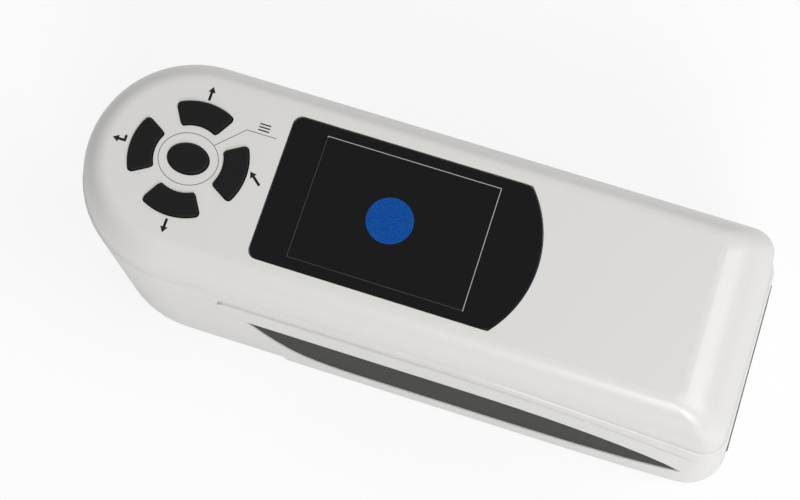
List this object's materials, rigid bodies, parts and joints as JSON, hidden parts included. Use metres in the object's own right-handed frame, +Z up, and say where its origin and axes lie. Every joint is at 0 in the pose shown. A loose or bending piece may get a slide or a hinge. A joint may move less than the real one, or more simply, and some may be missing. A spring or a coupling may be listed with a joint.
{
  "type": "handheld colorimeter",
  "caption": "Handheld colorimeter with a half-round nose, arc keys round a menu key, a large display, rubber side grips and a measuring aperture underneath.",
  "frame": {"origin": "under the middle of the housing's bounding box, on the surface it rests on", "axes": "+X from the half-round nose to the tail, +Z up out of the display, -Y the near side in the picture"},
  "size_m": [0.205, 0.067, 0.08],
  "materials": {
    "white_shell": "satin moulded plastic",
    "grip_rubber": "matte rubber",
    "black_window": "glossy",
    "black_plastic": "fine satin",
    "diffuse_white": "matte white",
    "circuit_board": "solder resist",
    "sheet_aluminium": "bare sheet",
    "steel": "plated",
    "cell_wrap": "shrink wrap",
    "clear_glass": "clear"
  },
  "bodies": {
    "housing": {"lower_housing": "white_shell", "top_cover": "white_shell", "side_panel_near": "white_shell", "side_panel_far": "white_shell", "grip_near": "grip_rubber", "grip_far": "grip_rubber", "display_window": "black_window", "aperture_ring": "black_plastic", "foot_strip_near": "grip_rubber", "foot_strip_far": "grip_rubber", "tail_plate": "black_plastic", "usb_socket": "steel", "charge_socket": "black_plastic", "power_switch": "black_plastic", "display_module": "sheet_aluminium", "display_glass": "clear_glass", "display_bracket": "sheet_aluminium", "bracket_screw_1": "steel", "bracket_screw_2": "steel", "bracket_screw_3": "steel", "bracket_screw_4": "steel", "key_mat": "grip_rubber", "key_board": "circuit_board", "key_board_screw_1": "steel", "key_board_screw_2": "steel", "main_board": "circuit_board", "main_board_screw_1": "steel", "main_board_screw_2": "steel", "buzzer": "black_plastic", "sphere_lower": "diffuse_white", "sphere_upper": "diffuse_white", "sphere_screw_1": "steel", "sphere_screw_2": "steel", "sphere_screw_3": "steel", "lamp_ring": "circuit_board", "sensor_tube": "black_plastic", "sensor_lens": "clear_glass", "sensor_board": "circuit_board", "shell_screw_1": "steel", "shell_screw_2": "steel", "shell_screw_3": "steel", "shell_screw_4": "steel", "measure_switch": "circuit_board", "port_board": "circuit_board", "battery_cell_near": "cell_wrap", "battery_cell_far": "cell_wrap", "battery_holder": "black_plastic", "contact_bridge": "steel", "contact_near": "steel", "contact_far": "steel"},
    "key_menu": {"key_menu": "black_plastic"},
    "key_enter": {"key_enter": "black_plastic"},
    "key_up": {"key_up": "black_plastic"},
    "key_back": {"key_back": "black_plastic"},
    "key_down": {"key_down": "black_plastic"},
    "measure_button": {"measure_button": "black_plastic"},
    "power_rocker": {"power_rocker": "black_plastic"},
    "battery_cover": {"battery_cover": "white_shell"}
  },
  "joints": [
    {"name": "key_menu_press", "type": "slide", "parent": "housing", "child": "key_menu", "axis": [0, 0, -1], "range_m": [0, 0.0008], "stiffness_N_per_m": 500},
    {"name": "key_enter_press", "type": "slide", "parent": "housing", "child": "key_enter", "axis": [0, 0, -1], "range_m": [0, 0.0008], "stiffness_N_per_m": 500},
    {"name": "key_up_press", "type": "slide", "parent": "housing", "child": "key_up", "axis": [0, 0, -1], "range_m": [0, 0.0008], "stiffness_N_per_m": 500},
    {"name": "key_back_press", "type": "slide", "parent": "housing", "child": "key_back", "axis": [0, 0, -1], "range_m": [0, 0.0008], "stiffness_N_per_m": 500},
    {"name": "key_down_press", "type": "slide", "parent": "housing", "child": "key_down", "axis": [0, 0, -1], "range_m": [0, 0.0008], "stiffness_N_per_m": 500},
    {"name": "measure_button_press", "type": "slide", "parent": "housing", "child": "measure_button", "axis": [0, -1, 0], "range_m": [0, 0.001], "stiffness_N_per_m": 500},
    {"name": "power_rocker_tilt", "type": "hinge", "parent": "housing", "child": "power_rocker", "pos_m": [0.09355, -0.013, 0.0354], "axis": [0, -1, 0], "range_deg": [0, 18]},
    {"name": "battery_cover_slide", "type": "slide", "parent": "housing", "child": "battery_cover", "axis": [1, 0, 0], "range_m": [0, 0.06]}
  ]
}
